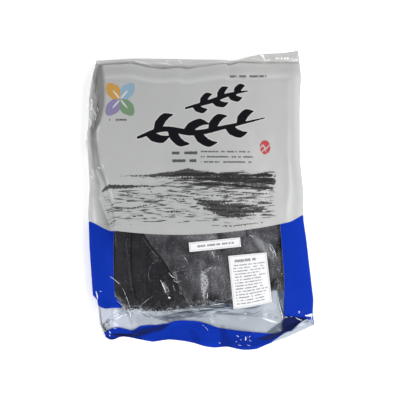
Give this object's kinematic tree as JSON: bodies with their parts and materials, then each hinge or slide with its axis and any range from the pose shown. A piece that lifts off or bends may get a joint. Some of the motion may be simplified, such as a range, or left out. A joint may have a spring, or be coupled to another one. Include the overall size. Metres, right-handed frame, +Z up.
{
  "type": "dried kelp pack",
  "caption": "Filled film pack of dried kelp lying on its back, with a head seal, a tucked side, a crumpled foot and paper labels over a clear window that shows folded kelp.",
  "frame": {"origin": "bottom centre of the pack's box: on the table, under the middle of the pack", "axes": "+X across the pack, to the right as its face is seen; +Y from its foot to its head seal; +Z up, out of the window side"},
  "size_m": [0.3212, 0.4312, 0.0511],
  "materials": {
    "printed_film": "thin glossy plastic film printed silver grey and deep blue, clear in the window",
    "dried_kelp": "dry leathery kelp, near black, dull to satin",
    "label_paper": "smooth white label paper with pale grey print"
  },
  "bodies": {
    "root": {"bag": "printed_film", "kelp_sheets": "dried_kelp", "info_label": "label_paper", "date_label": "label_paper"}
  },
  "joints": []
}
